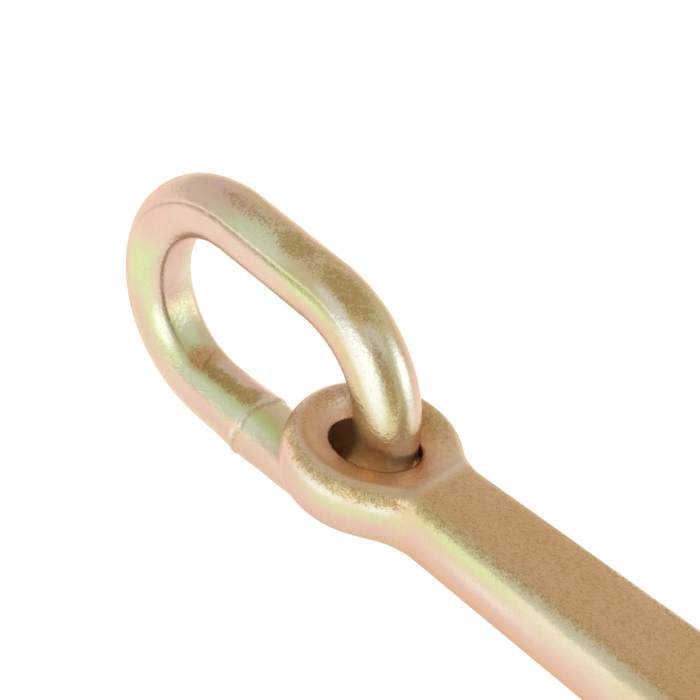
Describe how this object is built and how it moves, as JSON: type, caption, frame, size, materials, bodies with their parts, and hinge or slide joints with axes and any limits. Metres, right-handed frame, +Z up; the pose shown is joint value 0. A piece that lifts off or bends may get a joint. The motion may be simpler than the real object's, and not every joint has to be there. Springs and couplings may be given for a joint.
{
  "type": "ratchet load binder",
  "caption": "Ratchet load binder: a barrel with opposed take-up screws, a forged eye and a free welded oblong link at each end, and a pawl handle.",
  "frame": {"origin": "middle of the footprint, on the surface that the binder lies on", "axes": "+X along the barrel towards the right-hand end, +Y towards the handle's grip, +Z up"},
  "size_m": [0.612, 0.3992, 0.055],
  "materials": {
    "zinc_yellow_link": "yellow passivated zinc plating over drawn and welded bar",
    "zinc_yellow_forging": "yellow passivated zinc plating over a drop forging",
    "zinc_yellow_body": "yellow passivated zinc plating",
    "bright_steel": "bright zinc plating",
    "black_rubber": "satin moulded rubber",
    "brass": "turned brass"
  },
  "bodies": {
    "housing": {"side_plate_left": "zinc_yellow_body", "side_plate_right": "zinc_yellow_body", "handle_shank": "zinc_yellow_body", "handle_bolt_1": "bright_steel", "handle_nut_1": "bright_steel", "handle_bolt_2": "bright_steel", "handle_nut_2": "bright_steel", "pawl_pin": "bright_steel", "pawl_pin_clip": "bright_steel", "detent_plunger": "bright_steel", "detent_spring": "bright_steel", "handle_tube": "zinc_yellow_body", "handle_grip": "black_rubber"},
    "barrel": {"barrel_tube": "zinc_yellow_body", "ratchet_gear": "zinc_yellow_body", "end_bushing_left": "zinc_yellow_body", "end_bushing_right": "zinc_yellow_body", "wiper_seal_left": "black_rubber", "wiper_seal_right": "black_rubber", "retaining_ring_left": "bright_steel", "retaining_ring_right": "bright_steel", "grease_fitting_left": "brass", "grease_fitting_right": "brass"},
    "screw_left": {"eye_screw_left": "zinc_yellow_forging", "stop_collar_left": "bright_steel", "stop_pin_left": "bright_steel"},
    "screw_right": {"eye_screw_right": "zinc_yellow_forging", "stop_collar_right": "bright_steel", "stop_pin_right": "bright_steel"},
    "link_left": {"end_link_left": "zinc_yellow_link"},
    "link_right": {"end_link_right": "zinc_yellow_link"},
    "pawl": {"pawl": "zinc_yellow_body"}
  },
  "joints": [
    {"name": "barrel_spin", "type": "hinge", "parent": "housing", "child": "barrel", "pos_m": [0, -0.17562, 0.0233], "axis": [1, 0, 0], "range_deg": [0, 8640]},
    {"name": "screw_left_travel", "type": "slide", "parent": "housing", "child": "screw_left", "axis": [-1, 0, 0], "range_m": [0, 0.096]},
    {"name": "screw_right_travel", "type": "slide", "parent": "housing", "child": "screw_right", "axis": [1, 0, 0], "range_m": [0, 0.096]},
    {"name": "pawl_rock", "type": "hinge", "parent": "housing", "child": "pawl", "pos_m": [0, -0.13462, 0.0233], "axis": [1, 0, 0], "range_deg": [-12, 12]},
    {"name": "link_left_swing", "type": "hinge", "parent": "screw_left", "child": "link_left", "pos_m": [-0.25576, -0.17268, 0.028], "axis": [0.0689, 0.9966, 0.0453], "range_deg": [-60, 70]},
    {"name": "link_right_swing", "type": "hinge", "parent": "screw_right", "child": "link_right", "pos_m": [0.25576, -0.17857, 0.028], "axis": [-0.0689, -0.9966, 0.0453], "range_deg": [-60, 70]}
  ],
  "couplings": [
    {"joint": "screw_left_travel", "follows": "barrel_spin", "m_per_rad": 0.00063662},
    {"joint": "screw_right_travel", "follows": "barrel_spin", "m_per_rad": 0.00063662}
  ]
}
